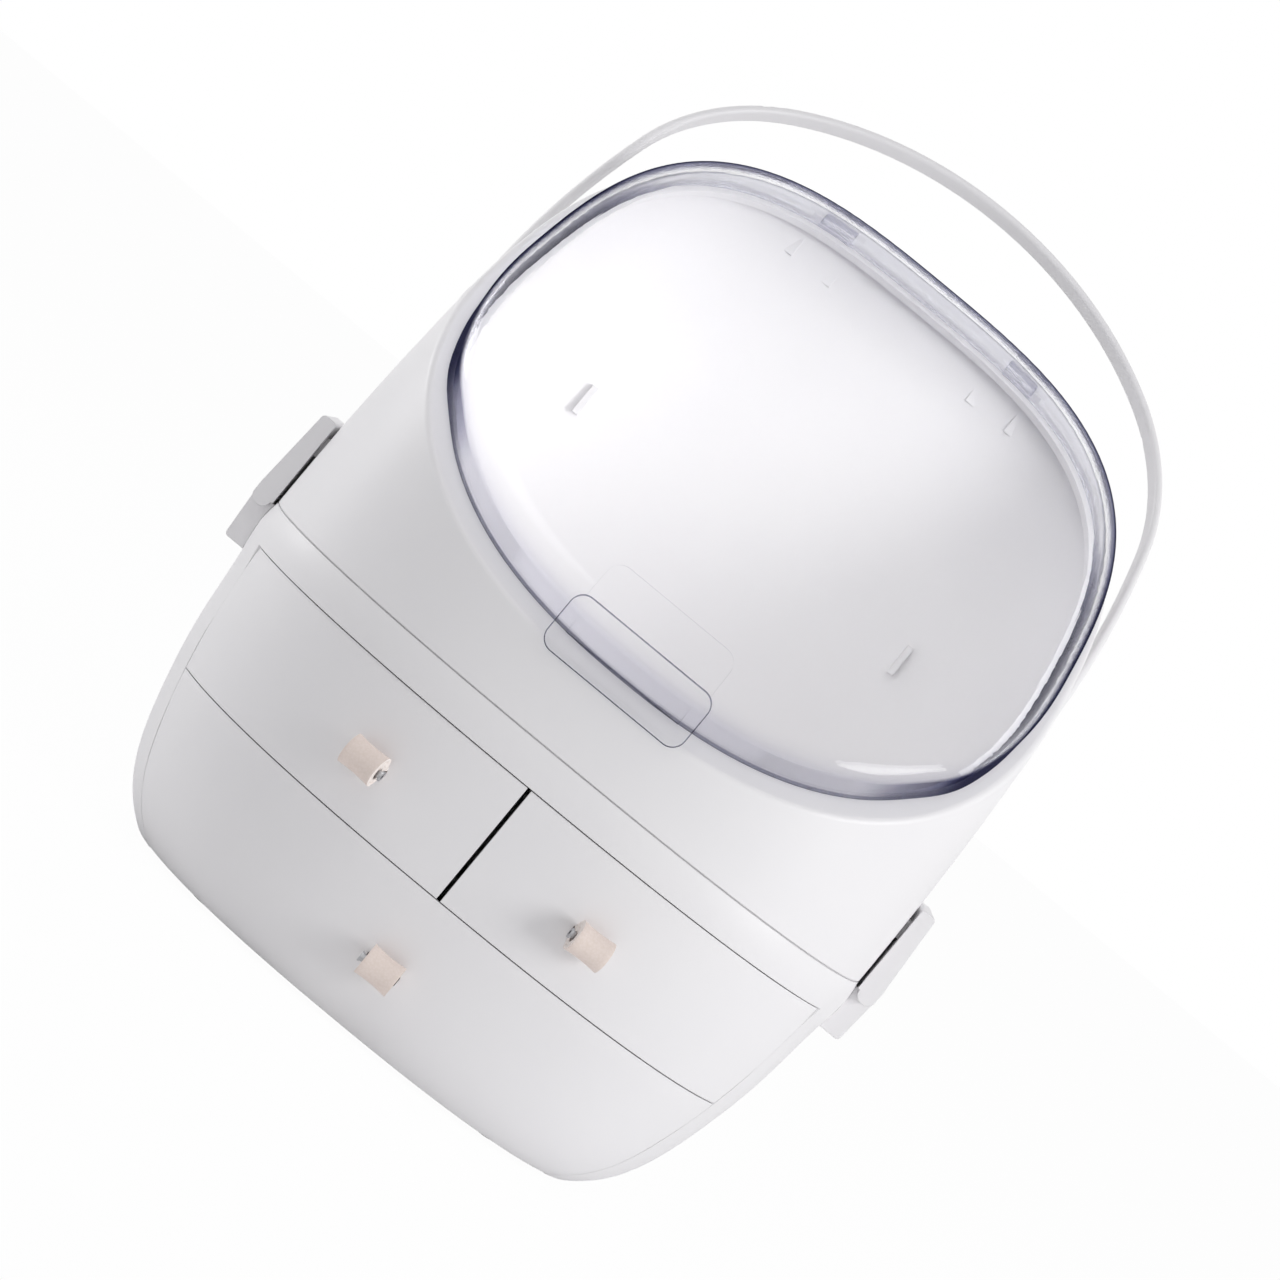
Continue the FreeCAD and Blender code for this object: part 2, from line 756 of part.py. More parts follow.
def handle():
    """Bail with an eye at each end and a sunk seat for the pivot stud's head."""
    half = half_bail()
    bail = half.fuse(mirror(half))
    outer = arm_inner_x + handle_eye_thick
    sunk = outer - pivot_head_thick - pivot_head_gap
    for sign in (-1, 1):
        bail = bail.fuse(rod(handle_eye_radius, Vec(sign * arm_inner_x, 0, 0), Vec(sign * outer, 0, 0)))
        seat = rod(pivot_head_radius + pivot_head_gap, Vec(sign * sunk, 0, 0), Vec(sign * far, 0, 0))
        bail = bail.cut(seat)
    bail = bail.cut(rod(pivot_pin_radius + pivot_fit, Vec(-far, 0, 0), Vec(far, 0, 0)))
    bail.rotate(Vec(0, 0, 0), Vec(1, 0, 0), -handle_lean_deg)
    bail.translate(Vec(0, pivot_y, pivot_z))
    return bail.removeSplitter()


def pivot_studs():
    """Shouldered studs that hold the handle's eyes to the case."""
    inner = arm_inner_x - arm_gap - shell_wall
    top = arm_inner_x + handle_eye_thick
    under = top - pivot_head_thick
    stud = rod(pivot_pin_radius, Vec(inner, pivot_y, pivot_z), Vec(under, pivot_y, pivot_z))
    head = rod(pivot_head_radius, Vec(under, pivot_y, pivot_z), Vec(top, pivot_y, pivot_z))
    stud = stud.fuse(head).removeSplitter()
    return [stud, mirror(stud)]


def latch_rod(radius, y0, y1):
    """Round bar on the latch's axis."""
    return rod(radius, Vec(latch_pin_x, y0, latch_pin_z), Vec(latch_pin_x, y1, latch_pin_z))


def latch_catch_top():
    return latch_top_z - latch_hook_height - catch_gap


def latch_catch():
    """Ledge on the side of the case that the flap hooks over."""
    top = latch_catch_top()
    half = catch_width / 2
    return block(body_half_width - wall_root, catch_out_x, -half, half, top - catch_height, top)


def latch_flap():
    """Flap with a cheek on each side of the block and a pocket that hooks over the catch."""
    half = latch_width / 2
    outer = latch_pin_x + latch_round
    low = latch_pin_z + latch_round + catch_gap
    profile = [Vec(latch_inner_x, -half, low), Vec(outer, -half, low), Vec(latch_outer_top_x, -half, latch_top_z),
               Vec(latch_inner_x, -half, latch_top_z)]
    flap = extrude_face(profile, Vec(0, latch_width, 0))
    tops = [e for e in flap.Edges if e.BoundBox.ZMin > latch_top_z - 0.01 and e.BoundBox.YLength > half]
    flap = flap.makeFillet(latch_edge_round, tops)
    room = catch_width / 2 + catch_gap
    top = latch_catch_top()
    low_pocket = top - catch_height - 2 * catch_gap
    flap = flap.cut(block(0, catch_out_x + catch_gap, -room, room, low_pocket, top + catch_gap))
    for y0 in (-half, half - latch_cheek):
        cheek = block(latch_inner_x, outer, y0, y0 + latch_cheek, latch_pin_z, low + 1)
        flap = flap.fuse(cheek).fuse(latch_rod(latch_round, y0, y0 + latch_cheek))
    return flap.cut(latch_rod(latch_pin_radius + latch_fit, latch_pin_cover - half, half - latch_pin_cover))


def latch_bracket(side, body):
    """Block on the side of the cabinet that the flap turns on."""
    half = latch_width / 2 - latch_cheek - latch_side_gap
    outer = latch_pin_x + latch_round
    deep = body_half_width - 3 * shell_wall
    profile = [Vec(deep, -half, latch_block_bottom_z), Vec(outer - latch_block_taper, -half, latch_block_bottom_z),
               Vec(outer, -half, latch_pin_z), Vec(deep, -half, latch_pin_z)]
    shape = extrude_face(profile, Vec(0, 2 * half, 0))
    lows = [e for e in shape.Edges if e.BoundBox.ZMax < latch_block_bottom_z + 0.01 and e.BoundBox.XMin > deep + 1]
    shape = shape.makeFillet(latch_edge_round, [e for e in lows if e.BoundBox.YLength > half])
    shape = shape.fuse(latch_rod(latch_round, -half, half)).cut(latch_rod(latch_pin_radius, -half, half))
    shape = shape if side > 0 else mirror(shape)
    return shape.cut(body).removeSplitter()


def latch_pin():
    """Pin that ends just short of the outer face of each cheek."""
    half = latch_width / 2 - 2 * latch_pin_cover
    return latch_rod(latch_pin_radius, -half, half)


def foot_places():
    return [(x, y) for x in (-foot_x, foot_x) for y in (foot_front_y, foot_back_y)]


def feet():
    """Rubber discs set flush in the plinth."""
    return [rod(foot_radius, Vec(x, y, 0), Vec(x, y, foot_pad_thick)) for x, y in foot_places()]


def save(name, shape):
    if isinstance(shape, list):
        shape = Part.makeCompound(shape)
    shape.exportStep(os.path.join("parts", name + ".step"))
    box = shape.BoundBox
    print(name, len(shape.Solids), shape.isValid(), round(shape.Volume / 1000, 2),
          [round(v, 1) for v in (box.XMin, box.XMax, box.YMin, box.YMax, box.ZMin, box.ZMax)])


def save_drawers():
    drawers = [("left", True, -1, -pull_spread, pull_upper_z), ("right", True, 1, pull_spread, pull_upper_z),
               ("bottom", False, 1, 0.0, pull_lower_z)]
    for name, upper, side, x, z in drawers:
        save(name + "_drawer_front", drawer_front(upper, side, x, z))
        save(name + "_drawer_tray", drawer_tray(upper, side, x, z))
        save(name + "_pull_strap", place_on_front(pull_strap_shape(), x, z))
        save(name + "_pull_pin", place_on_front(pull_pin_shape(-side), x, z))


def save_latches():
    body = egg(0, foot_height, seam_z)
    flap = latch_flap()
    pin = latch_pin()
    for name, side in (("left", -1), ("right", 1)):
        save(name + "_latch_flap", flap if side > 0 else mirror(flap))
        save(name + "_latch_bracket", latch_bracket(side, body))
        save(name + "_latch_pin", pin if side > 0 else mirror(pin))


os.makedirs("parts", exist_ok=True)
save("cabinet_shell", cabinet_shell())
save("front_frame", front_frame())
save("drawer_shelf", drawer_shelf())
save("drawer_partition", drawer_partition())
save("base_plate", base_plate())
save("upper_runners", runners(True))
save("lower_runners", runners(False))
save("rubber_feet", feet())
save("upper_case", upper_case())
save("lid", lid())
save("lid_grip", grip_shape())
save("hinge_pins", hinge_pins())
save("handle", handle())
save("handle_pivot_studs", pivot_studs())
save_drawers()
save_latches()
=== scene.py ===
"""Looks of the egg-shaped makeup storage box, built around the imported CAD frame."""

import json
import math

import bmesh
import bpy
from bpy.props import FloatProperty, FloatVectorProperty, PointerProperty
from mathutils import Matrix, Vector


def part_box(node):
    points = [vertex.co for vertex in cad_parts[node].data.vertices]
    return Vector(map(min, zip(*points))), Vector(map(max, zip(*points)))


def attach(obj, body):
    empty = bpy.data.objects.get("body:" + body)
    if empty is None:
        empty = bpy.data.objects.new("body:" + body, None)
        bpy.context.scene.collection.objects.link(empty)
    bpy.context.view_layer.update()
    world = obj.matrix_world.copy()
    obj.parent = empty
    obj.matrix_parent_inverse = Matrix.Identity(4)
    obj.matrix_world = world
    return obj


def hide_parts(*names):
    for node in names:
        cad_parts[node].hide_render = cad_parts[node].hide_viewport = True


bl_info = {
    "name": "Makeup storage box",
    "version": (1, 0, 0),
    "blender": (4, 5, 0),
    "location": "3D View > Sidebar > Makeup box",
    "description": "Finishes and soft pieces of an egg-shaped makeup storage box",
    "category": "Object",
}

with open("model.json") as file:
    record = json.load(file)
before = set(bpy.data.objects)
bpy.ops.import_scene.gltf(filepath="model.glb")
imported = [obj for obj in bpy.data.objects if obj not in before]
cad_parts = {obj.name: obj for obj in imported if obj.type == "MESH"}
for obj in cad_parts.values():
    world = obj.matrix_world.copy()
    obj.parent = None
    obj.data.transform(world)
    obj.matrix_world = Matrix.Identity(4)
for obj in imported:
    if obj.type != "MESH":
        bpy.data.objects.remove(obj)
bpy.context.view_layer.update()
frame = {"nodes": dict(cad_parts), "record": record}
nodes = frame["nodes"]

MM = 0.001
DRAWERS = ("left", "right", "bottom")

# Colour sockets of a Mix node
MIX_FIRST = 6
MIX_SECOND = 7
MIX_RESULT = 2

# Painted pale and dark reflections of the clear plastic by how far it turns away, from 0 head on to 1 edge
# on
# Each has the facing where it starts and the facing where it is full
PAINTED_PALE_FACING = (0.36, 0.7)
LID_PAINTED_DARK_FACING = (0.5, 0.8)
GRIP_PAINTED_DARK_FACING = (0.4, 0.7)

# Zones of the lid by height over the rim's plane and by depth towards the back
# Each has the place where it starts and the place where it is full
FOOT_TOP = (1.0 * MM, 0.5 * MM)
FOOT_BOTTOM = (-0.1 * MM, 0.2 * MM)
FRONT_DEPTH = (70 * MM, 10 * MM)
HINGE_DEPTH = (93 * MM, 89 * MM)
CROWN_HEIGHT = (19.5 * MM, 16.5 * MM)
WALL_HEIGHT = (15 * MM, 10 * MM)

# Strength of each painted reflection of the clear plastic, and of the grip's sheen
LID_PAINTED_DARK_SHARE = 0.9
GRIP_PAINTED_DARK_SHARE = 0.7
FOOT_PAINTED_DARK_SHARE = 0.6
WALL_PAINTED_PALE_SHARE = 0.4
SHEEN_POWER = 4.0
SHEEN_SHARE = 0.6

# Soft lamps: place and width of the disc in metres, and power in watts
LAMPS = {
    "key_softbox": ((1.3, -0.75, 0.7), 0.8, 11),
    "side_softbox": ((-1.4, 0.25, 0.5), 0.7, 6),
    "top_softbox": ((-0.5, -0.6, 1.5), 0.8, 1.6),
}
LAMP_AIM = Vector((0, 0, 0.18))

# White paper floor and studio, in linear colours
WHITE = (1, 1, 1, 1)
PAPER = (0.9, 0.9, 0.9, 1)
PAPER_GLOW = 0.97
FLOOR_HALF = 6
STUDIO_TINT = (0.985, 0.98, 1.0, 1)
STUDIO_STRENGTH = 0.43


def linear(hex_colour):
    """sRGB hex, such as "F4F3F5", to linear red, green and blue."""
    values = [int(hex_colour[i:i + 2], 16) / 255 for i in (0, 2, 4)]
    return tuple(v / 12.92 if v <= 0.04045 else ((v + 0.055) / 1.055) ** 2.4 for v in values)


def add_node(tree, kind, *values, **named):
    """Adds a shader node. Values fill its inputs in order; lower-case names are settings, others inputs.

    An input is a value, another node's socket, or another node, which gives its first output.
    """
    node = tree.nodes.new(kind)
    inputs = list(zip(node.inputs, values))
    for name, value in named.items():
        if name.islower():
            setattr(node, name, value)
        else:
            inputs.append((node.inputs[name.replace("_", " ")], value))
    for socket, value in inputs:
        if isinstance(value, bpy.types.Node):
            value = value.outputs[0]
        if isinstance(value, bpy.types.NodeSocket):
            tree.links.new(value, socket)
        else:
            socket.default_value = value
    return node


def colour_property(name, hex_colour):
    return FloatVectorProperty(name=name, description=name + ", linear", subtype="COLOR", size=3,
                               min=0, max=1, default=linear(hex_colour))


class MakeupBoxColours(bpy.types.PropertyGroup):
    body: colour_property("White of the moulded body", "F5F4F5")
    body_shade: colour_property("Slightly cooler white in the moulding", "F1F0F2")
    inside: colour_property("White of the trays and inner panels", "F1F0F1")
    strap: colour_property("Nude face of the pull straps", "F3E5DE")
    strap_edge: colour_property("Pale cut edge of the pull straps", "FBF6F1")
    strap_shade: colour_property("Darker grain of the pull straps", "EBDCD2")
    lid: colour_property("Clear lid", "FEFEFE")
    # Painted reflection: a pale blue-grey laid over the clear plastic where it turns away and on the lid's
    # wall
    lid_painted_pale_reflection: colour_property("Pale blue-grey where the lid turns away", "DADAE4")
    # Painted reflection: a dark blue-grey laid over the clear plastic edge on and along the lid's foot
    lid_painted_dark_reflection: colour_property("Dark blue-grey that the lid shows edge on", "4A4C70")
    steel: colour_property("Bright steel of pins and studs", "B9BABD")
    rubber: colour_property("Grey rubber of the feet", "8C8C90")


class MakeupBoxSizes(bpy.types.PropertyGroup):
    strap_thick: FloatProperty(name="Strap thickness", description="Thickness of the rolled pull strap",
                               default=1.5 * MM, min=0, unit="LENGTH")
    strap_layer: FloatProperty(name="Strap pitch", description="From one turn of the roll to the next",
                               default=1.6 * MM, min=0, unit="LENGTH")
    strap_roll: FloatProperty(name="Roll radius", description="Outer radius of the rolled pull",
                              default=5.2 * MM, min=0, unit="LENGTH")
    strap_reach: FloatProperty(name="Strap reach", description="How far a pull stands out of its drawer",
                               default=12.4 * MM, min=0, unit="LENGTH")
    strap_width: FloatProperty(name="Strap width", description="Width of a pull from cut edge to cut edge",
                               default=13.4 * MM, min=0, unit="LENGTH")
    strap_waist: FloatProperty(name="Roll waist", description="How much the roll is drawn in at its middle",
                               default=0.35 * MM, min=0, unit="LENGTH")
    strap_tab: FloatProperty(name="Strap tab", description="Length of the tab behind the drawer front",
                             default=4 * MM, min=0, unit="LENGTH")
    strap_tab_place: FloatProperty(name="Tab place",
                                   description="From the drawer front's face to the strap's tab",
                                   default=4.8 * MM, min=0, unit="LENGTH")
    strap_cut_round: FloatProperty(name="Cut edge", description="Rounding of the strap's cut edges",
                                   default=0.25 * MM, min=0, unit="LENGTH")
    strap_turn: FloatProperty(name="Pull turn",
                              description="How far the upper pulls turn out with the curved fronts",
                              default=math.radians(11.3), subtype="ANGLE", unit="ROTATION")
    rim_height: FloatProperty(name="Rim height", description="Height of the middle of the slanted rim",
                              default=245 * MM, min=0, unit="LENGTH")
    rim_slope: FloatProperty(name="Rim slope", description="Slope of the rim that the lid lies on",
                             default=math.radians(43.2), subtype="ANGLE", unit="ROTATION")
    edge_round: FloatProperty(name="Edge rounding", description="Small rounding of the moulded edges",
                              default=0.5 * MM, min=0, unit="LENGTH")
    texture_grain: FloatProperty(name="Moulding texture",
                                 description="Width of the fine texture, drawn coarse so that it shows",
                                 default=1.2 * MM, min=0, unit="LENGTH")
    camera_distance: FloatProperty(name="Camera distance",
                                   description="From the camera to the middle of the box",
                                   default=1.5, min=0, unit="LENGTH")
    camera_height: FloatProperty(name="Camera height", description="Height of the camera above the floor",
                                 default=0.236, min=0, unit="LENGTH")
    camera_side: FloatProperty(name="Camera side", description="How far the camera stands to the left",
                               default=3.5 * MM, unit="LENGTH")
    camera_roll: FloatProperty(name="Camera roll", description="Turn of the picture about the line of sight",
                               default=math.radians(39.6), subtype="ANGLE", unit="ROTATION")
    camera_pitch: FloatProperty(name="Camera pitch", description="How far the camera looks down",
                                default=math.radians(2.66), subtype="ANGLE", unit="ROTATION")
    camera_lens: FloatProperty(name="Camera lens", description="Focal length in mm on a sensor 36 mm wide",
                               default=116.9, min=1)


def new_material(name):
    """A material with an empty node tree, its output and a Principled shader."""
    material = bpy.data.materials.new(name)
    material.use_nodes = True
    tree = material.node_tree
    tree.nodes.clear()
    shader = add_node(tree, "ShaderNodeBsdfPrincipled")
    add_node(tree, "ShaderNodeOutputMaterial", Surface=shader)
    return material, tree, shader


def give_surface(tree, node):
    """Makes a node's shader the material's surface."""
    output = next(n for n in tree.nodes if n.type == "OUTPUT_MATERIAL")
    tree.links.new(node.outputs[0], output.inputs["Surface"])


def two_tone(tree, shader, share, first, second):
    """Colours a shader from one tone to another by a pattern's share."""
    tone = add_node(tree, "ShaderNodeMix", share, data_type="RGBA")
    tone.inputs[MIX_FIRST].default_value = (*first, 1)
    tone.inputs[MIX_SECOND].default_value = (*second, 1)
    tree.links.new(tone.outputs[MIX_RESULT], shader.inputs["Base Color"])


def moulded_plastic(name, colour, shade, sizes, roughness, edged=True):
    """Injection-moulded ABS with a spark-eroded texture: an even satin white with a broad highlight."""
    material, tree, shader = new_material(name)
    place = add_node(tree, "ShaderNodeTexCoord").outputs["Object"]
    cloud_width = 60 * MM
    cloud = add_node(tree, "ShaderNodeTexNoise", Vector=place, Scale=1 / cloud_width, Detail=2.0)
    two_tone(tree, shader, cloud, colour, shade)
    pits = add_node(tree, "ShaderNodeTexNoise", Vector=place, Scale=1 / sizes.texture_grain, Detail=3.0)
    bump = add_node(tree, "ShaderNodeBump", Height=pits, Strength=0.05, Distance=0.1 * MM)
    if edged:
        edges = add_node(tree, "ShaderNodeBevel", samples=4, Radius=sizes.edge_round)
        tree.links.new(edges.outputs["Normal"], bump.inputs["Normal"])
    tree.links.new(bump.outputs["Normal"], shader.inputs["Normal"])
    shader.inputs["Roughness"].default_value = roughness
    shader.inputs["IOR"].default_value = 1.53
    return material


def lid_zones(tree, place, rim, painted_pale, painted_dark_mask):
    """Adds a painted pale reflection to the lid's wall and a painted dark line to its foot, and keeps the
    painted dark off crown and hinge.
    """
    point, normal = rim
    off = add_node(tree, "ShaderNodeVectorMath", place, point, operation="SUBTRACT")
    height = add_node(tree, "ShaderNodeVectorMath", off, normal, operation="DOT_PRODUCT").outputs["Value"]
    depth = add_node(tree, "ShaderNodeSeparateXYZ", place).outputs["Y"]
    zones = ((height, FOOT_TOP), (height, FOOT_BOTTOM), (depth, FRONT_DEPTH), (depth, HINGE_DEPTH),
             (height, CROWN_HEIGHT), (height, WALL_HEIGHT))
    # Zones for a painted dark line along the foot and a painted pale reflection on the wall
    foot, over_foot, front, before_hinge, off_crown, wall = [
        add_node(tree, "ShaderNodeMapRange", value, *zone, interpolation_type="SMOOTHSTEP")
        for value, zone in zones]
    for share in (over_foot, front, FOOT_PAINTED_DARK_SHARE):
        foot = add_node(tree, "ShaderNodeMath", foot, share, operation="MULTIPLY")
    painted_dark_mask = add_node(tree, "ShaderNodeMath", painted_dark_mask, off_crown, operation="MULTIPLY")
    painted_dark_mask = add_node(tree, "ShaderNodeMath", painted_dark_mask, foot, operation="MAXIMUM")
    painted_dark_mask = add_node(tree, "ShaderNodeMath", painted_dark_mask, before_hinge, operation="MULTIPLY")
    wall = add_node(tree, "ShaderNodeMath", wall, WALL_PAINTED_PALE_SHARE, operation="MULTIPLY")
    painted_pale = add_node(tree, "ShaderNodeMath", painted_pale, wall, operation="MAXIMUM")
    return painted_pale, painted_dark_mask


def add_painted_reflections(tree, shader, colours, painted_pale, dark):
    """Lays a painted pale reflection and a painted dark reflection over a clear shader, and lets light
    through to what lies under it.
    """
    shadow = add_node(tree, "ShaderNodeLightPath").outputs["Is Shadow Ray"]
    surface = shader
    # Painted reflections: transparent layers tinted pale and dark by their masks
    for colour, share in ((colours.lid_painted_pale_reflection, painted_pale), (colours.lid_painted_dark_reflection, dark), (colours.lid, shadow)):
        layer = add_node(tree, "ShaderNodeBsdfTransparent", Color=(*colour, 1))
        surface = add_node(tree, "ShaderNodeMixShader", share, surface, layer)
    give_surface(tree, surface)


def clear_plastic(name, colours, painted_dark_facing, painted_dark_share, rim=None):
    """Clear polystyrene, moulded and polished, with a painted pale reflection where it turns away and a
    painted dark reflection at its foot and edge on.
    """
    material, tree, shader = new_material(name)
    place = add_node(tree, "ShaderNodeTexCoord").outputs["Object"]
    flow_width = 90 * MM
    flow = add_node(tree, "ShaderNodeTexNoise", Vector=place, Scale=1 / flow_width, Detail=1.0)
    bump = add_node(tree, "ShaderNodeBump", Height=flow, Strength=0.04, Distance=1 * MM)
    tree.links.new(bump.outputs["Normal"], shader.inputs["Normal"])
    shader.inputs["Base Color"].default_value = (*colours.lid, 1)
    shader.inputs["Roughness"].default_value = 0.02
    shader.inputs["IOR"].default_value = 1.3
    turned = add_node(tree, "ShaderNodeLayerWeight", Blend=0.5).outputs["Facing"]
    # Painted pale reflection where the clear plastic turns away
    painted_pale = add_node(tree, "ShaderNodeMapRange", turned, *PAINTED_PALE_FACING, interpolation_type="SMOOTHSTEP")
    # Painted dark reflection where the clear plastic is edge on
    painted_dark_mask = add_node(tree, "ShaderNodeMapRange", turned, *painted_dark_facing, interpolation_type="SMOOTHSTEP")
    if rim:
        shader.inputs["Transmission Weight"].default_value = 1.0
        painted_pale, painted_dark_mask = lid_zones(tree, place, rim, painted_pale, painted_dark_mask)
    else:
        glance = add_node(tree, "ShaderNodeMath", turned, SHEEN_POWER, operation="POWER")
        sheen = add_node(tree, "ShaderNodeMath", glance, SHEEN_SHARE, operation="MULTIPLY")
        shader.inputs["Metallic"].default_value = 1.0
        tree.links.new(sheen.outputs[0], shader.inputs["Alpha"])
    # Strength of the painted dark reflection
    dark = add_node(tree, "ShaderNodeMath", painted_dark_mask, painted_dark_share, operation="MULTIPLY")
    add_painted_reflections(tree, shader, colours, painted_pale, dark)
    return material


def leatherette(name, colour, shade):
    """Polyurethane leatherette: a matt, pale nude skin with a pebble grain drawn coarse enough to show."""
    material, tree, shader = new_material(name)
    place = add_node(tree, "ShaderNodeTexCoord").outputs["Object"]
    pebble_width = 0.9 * MM
    grain = add_node(tree, "ShaderNodeTexVoronoi", Vector=place, Scale=1 / pebble_width)
    two_tone(tree, shader, grain, colour, shade)
    bump = add_node(tree, "ShaderNodeBump", Height=grain, Strength=0.12, Distance=0.1 * MM)
    tree.links.new(bump.outputs["Normal"], shader.inputs["Normal"])
    shader.inputs["Roughness"].default_value = 0.6
    return material


def drawn_steel(name, colour):
    """Drawn steel: bright metal whose polish varies a little from spot to spot."""
    material, tree, shader = new_material(name)
    place = add_node(tree, "ShaderNodeTexCoord").outputs["Object"]
    spot_width = 0.8 * MM
    spots = add_node(tree, "ShaderNodeTexNoise", Vector=place, Scale=1 / spot_width, Detail=2.0)
    rough = add_node(tree, "ShaderNodeMapRange", Value=spots, To_Min=0.25, To_Max=0.4)
    tree.links.new(rough.outputs["Result"], shader.inputs["Roughness"])
    shader.inputs["Base Color"].default_value = (*colour, 1)
    shader.inputs["Metallic"].default_value = 1.0
    return material


def moulded_rubber(name, colour):
    """Moulded rubber: matt grey with a slightly uneven skin."""
    material, tree, shader = new_material(name)
    place = add_node(tree, "ShaderNodeTexCoord").outputs["Object"]
    skin_width = 2 * MM
    skin = add_node(tree, "ShaderNodeTexNoise", Vector=place, Scale=1 / skin_width, Detail=3.0)
    bump = add_node(tree, "ShaderNodeBump", Height=skin, Strength=0.1, Distance=0.2 * MM)
    tree.links.new(bump.outputs["Normal"], shader.inputs["Normal"])
    shader.inputs["Base Color"].default_value = (*colour, 1)
    shader.inputs["Roughness"].default_value = 0.75
    return material


def paint(name, material):
    """Gives a CAD node one material."""
    data = nodes[name].data
    data.materials.clear()
    data.materials.append(material)


def paint_slot(slot, material):
    """Gives one material to every CAD node that the record lists under a finish."""
    for entry in frame["record"]["subparts"]:
        if entry["material_slot"] == slot:
            paint(entry["node"], material)


def finished_piece(name, mesh, materials, body, slot, *replaced):
    """Makes an object of a finished bmesh, which rides on a CAD body."""
    data = bpy.data.meshes.new(name)
    mesh.to_mesh(data)
    mesh.free()
    for material in materials:
        data.materials.append(material)
    for face in data.polygons:
        face.use_smooth = True
    piece = bpy.data.objects.new(name, data)
    bpy.context.scene.collection.objects.link(piece)
    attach(piece, body)
    if replaced:
        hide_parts(*replaced)
    return piece


class MAKEUPBOX_OT_white_mouldings(bpy.types.Operator):
    """Satin white finish of the body, the handle, the drawers and the latches"""
    bl_idname = "makeupbox.white_mouldings"
    bl_label = "White mouldings"

    def execute(self, context):
        colours = context.scene.makeupbox_colours
        sizes = context.scene.makeupbox_sizes
        satin = 0.42
        inner_satin = 0.5
        outer = moulded_plastic("ABS_moulded_satin_white", colours.body, colours.body_shade, sizes, satin)
        inner = moulded_plastic("ABS_moulded_inner_white", colours.inside, colours.body_shade, sizes,
                                inner_satin)
        bar = moulded_plastic("ABS_moulded_satin_white_bar", colours.body, colours.body_shade, sizes, satin,
                              edged=False)
        paint_slot("white_satin_plastic", outer)
        paint_slot("white_inner_plastic", inner)
        paint("handle", bar)
        return {"FINISHED"}


class MAKEUPBOX_OT_clear_lid(bpy.types.Operator):
    """Clear lid with its grip"""
    bl_idname = "makeupbox.clear_lid"
    bl_label = "Clear lid"

    def execute(self, context):
        colours = context.scene.makeupbox_colours
        sizes = context.scene.makeupbox_sizes
        slope = sizes.rim_slope
        rim = ((0, 0, sizes.rim_height), (0, -math.sin(slope), math.cos(slope)))
        lid = clear_plastic("PS_clear_polished", colours, LID_PAINTED_DARK_FACING, LID_PAINTED_DARK_SHARE, rim)
        grip = clear_plastic("PS_clear_polished_grip", colours, GRIP_PAINTED_DARK_FACING, GRIP_PAINTED_DARK_SHARE)
        paint("lid", lid)
        paint("lid_grip", grip)
        return {"FINISHED"}


class MAKEUPBOX_OT_hardware(bpy.types.Operator):
    """Steel pins and studs, and rubber feet"""
    bl_idname = "makeupbox.hardware"
    bl_label = "Pins, studs and feet"

    def execute(self, context):
        colours = context.scene.makeupbox_colours
        paint_slot("steel", drawn_steel("steel_drawn_bright", colours.steel))
        paint_slot("grey_rubber", moulded_rubber("rubber_moulded_grey", colours.rubber))
        return {"FINISHED"}


def smoothed(points, rounds=2):
    """Cuts the corners of an open line of points, keeping its two ends."""
    for _ in range(rounds):
        cut = [points[0]]
        for first, second in zip(points, points[1:]):
            cut.append(first * 0.75 + second * 0.25)
            cut.append(first * 0.25 + second * 0.75)
        points = cut + [points[-1]]
    return points


def roll_path(sizes):
    """Outer side of a pull in its own (y, z): tab behind the front, tail through it, then the roll."""
    roll = sizes.strap_roll
    centre = Vector((roll - sizes.strap_reach, 0))
    thick = sizes.strap_thick
    back = sizes.strap_tab_place
    tail = [(back, thick + sizes.strap_tab), (back, 2 * thick), (back, thick), (back - thick, thick),
            (centre.x + roll + 2 * thick, thick), (centre.x + roll + thick / 2, thick)]
    onto_roll = centre + Vector((roll * 0.97, roll * 0.3))
    path = smoothed([Vector(p) for p in tail] + [onto_roll])
    turns = 2.3
    steps = 90
    first_degree = 24
    for i in range(1, steps + 1):
        angle = math.radians(first_degree + 360 * turns * i / steps)
        radius = roll - sizes.strap_layer * turns * i / steps
        path.append(centre + Vector((math.cos(angle), math.sin(angle))) * radius)
    return path


def lining_path(sizes):
    """Lower side of the second tail, which lies under the first and turns down behind the front."""
    thick = sizes.strap_thick
    back = sizes.strap_tab_place
    front = 2 * sizes.strap_roll - sizes.strap_reach
    corners = [(back, -thick - sizes.strap_tab), (back, -2 * thick), (back, -thick), (back - thick, -thick),
               (front, -thick)]
    return smoothed([Vector(p) for p in corners])


def sweep_strip(mesh, path, sizes, rows):
    """Draws a line of edges along a path and extrudes it across the width of the strap."""
    start = -sizes.strap_width / 2
    step = sizes.strap_width / rows
    verts = [mesh.verts.new((start, y, z)) for y, z in path]
    edges = [mesh.edges.new(pair) for pair in zip(verts, verts[1:])]
    for _ in range(rows):
        made = bmesh.ops.extrude_edge_only(mesh, edges=edges)["geom"]
        moved = [v for v in made if isinstance(v, bmesh.types.BMVert)]
        bmesh.ops.translate(mesh, vec=(step, 0, 0), verts=moved)
        edges = [e for e in made if isinstance(e, bmesh.types.BMEdge) and e.is_boundary
                 and abs(e.verts[0].co.x - e.verts[1].co.x) < step / 2]


